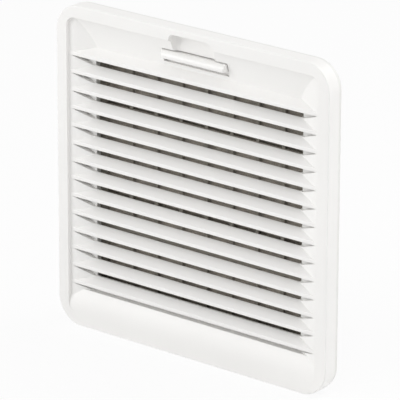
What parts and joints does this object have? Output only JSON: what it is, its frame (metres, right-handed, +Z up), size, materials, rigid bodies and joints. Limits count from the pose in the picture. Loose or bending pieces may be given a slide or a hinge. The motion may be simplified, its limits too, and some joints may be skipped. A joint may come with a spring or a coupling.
{
  "type": "exhaust filter grille",
  "caption": "Square louvred exhaust filter for an enclosure wall: a latched cover tilts open on a snap-in base frame that holds a filter mat.",
  "frame": {"origin": "centre of the enclosure wall's cut-out, on the wall's outer face, where the flange seats", "axes": "+X to the right of the front, +Y into the enclosure, +Z up; the front looks along -Y"},
  "size_m": [0.205, 0.0296, 0.205],
  "materials": {
    "louvre_cover": "fine satin moulding",
    "cover_latch": "smooth satin moulding",
    "latch_springs": "drawn spring wire",
    "hinge_pin_left": "bright drawn steel",
    "hinge_pin_right": "bright drawn steel",
    "base_frame": "fine satin moulding",
    "rear_guard": "fine satin moulding",
    "guard_screws": "zinc plated",
    "filter_mat": "open random fibre mat",
    "mat_holder": "fine satin moulding",
    "panel_gasket": "closed cell foam",
    "cover_seal": "closed cell foam",
    "clip_right_lower": "fine satin moulding",
    "clip_right_upper": "fine satin moulding",
    "clip_top_right": "fine satin moulding",
    "clip_top_left": "fine satin moulding",
    "clip_left_upper": "fine satin moulding",
    "clip_left_lower": "fine satin moulding",
    "clip_bottom_left": "fine satin moulding",
    "clip_bottom_right": "fine satin moulding"
  },
  "bodies": {
    "base": {"base_frame": "base_frame", "rear_guard": "rear_guard", "guard_screws": "guard_screws", "filter_mat": "filter_mat", "mat_holder": "mat_holder", "panel_gasket": "panel_gasket", "cover_seal": "cover_seal"},
    "cover": {"louvre_cover": "louvre_cover", "latch_springs": "latch_springs", "hinge_pin_left": "hinge_pin_left", "hinge_pin_right": "hinge_pin_right"},
    "latch": {"cover_latch": "cover_latch"},
    "clip_right_lower": {"clip_right_lower": "clip_right_lower"},
    "clip_right_upper": {"clip_right_upper": "clip_right_upper"},
    "clip_top_right": {"clip_top_right": "clip_top_right"},
    "clip_top_left": {"clip_top_left": "clip_top_left"},
    "clip_left_upper": {"clip_left_upper": "clip_left_upper"},
    "clip_left_lower": {"clip_left_lower": "clip_left_lower"},
    "clip_bottom_left": {"clip_bottom_left": "clip_bottom_left"},
    "clip_bottom_right": {"clip_bottom_right": "clip_bottom_right"}
  },
  "joints": [
    {"name": "cover_hinge", "type": "hinge", "parent": "base", "child": "cover", "pos_m": [0, -0.008, -0.0985], "axis": [1, 0, 0], "range_deg": [0, 90]},
    {"name": "latch_slide", "type": "slide", "parent": "cover", "child": "latch", "axis": [0, 0, -1], "range_m": [0, 0.002], "stiffness_N_per_m": 600, "springref_m": -0.002, "deforming": ["latch_springs"]},
    {"name": "clip_right_lower_swing", "type": "hinge", "parent": "base", "child": "clip_right_lower", "pos_m": [0.0852, 0.012, -0.045], "axis": [0, 0, -1], "range_deg": [0, 12], "stiffness_Nm_per_rad": 0.5, "springref_deg": -4.58},
    {"name": "clip_right_upper_swing", "type": "hinge", "parent": "base", "child": "clip_right_upper", "pos_m": [0.0852, 0.012, 0.045], "axis": [0, 0, -1], "range_deg": [0, 12], "stiffness_Nm_per_rad": 0.5, "springref_deg": -4.58},
    {"name": "clip_top_right_swing", "type": "hinge", "parent": "base", "child": "clip_top_right", "pos_m": [0.045, 0.012, 0.0852], "axis": [1, 0, 0], "range_deg": [0, 12], "stiffness_Nm_per_rad": 0.5, "springref_deg": -4.58},
    {"name": "clip_top_left_swing", "type": "hinge", "parent": "base", "child": "clip_top_left", "pos_m": [-0.045, 0.012, 0.0852], "axis": [1, 0, 0], "range_deg": [0, 12], "stiffness_Nm_per_rad": 0.5, "springref_deg": -4.58},
    {"name": "clip_left_upper_swing", "type": "hinge", "parent": "base", "child": "clip_left_upper", "pos_m": [-0.0852, 0.012, 0.045], "axis": [0, 0, 1], "range_deg": [0, 12], "stiffness_Nm_per_rad": 0.5, "springref_deg": -4.58},
    {"name": "clip_left_lower_swing", "type": "hinge", "parent": "base", "child": "clip_left_lower", "pos_m": [-0.0852, 0.012, -0.045], "axis": [0, 0, 1], "range_deg": [0, 12], "stiffness_Nm_per_rad": 0.5, "springref_deg": -4.58},
    {"name": "clip_bottom_left_swing", "type": "hinge", "parent": "base", "child": "clip_bottom_left", "pos_m": [-0.045, 0.012, -0.0852], "axis": [-1, 0, 0], "range_deg": [0, 12], "stiffness_Nm_per_rad": 0.5, "springref_deg": -4.58},
    {"name": "clip_bottom_right_swing", "type": "hinge", "parent": "base", "child": "clip_bottom_right", "pos_m": [0.045, 0.012, -0.0852], "axis": [-1, 0, 0], "range_deg": [0, 12], "stiffness_Nm_per_rad": 0.5, "springref_deg": -4.58}
  ]
}
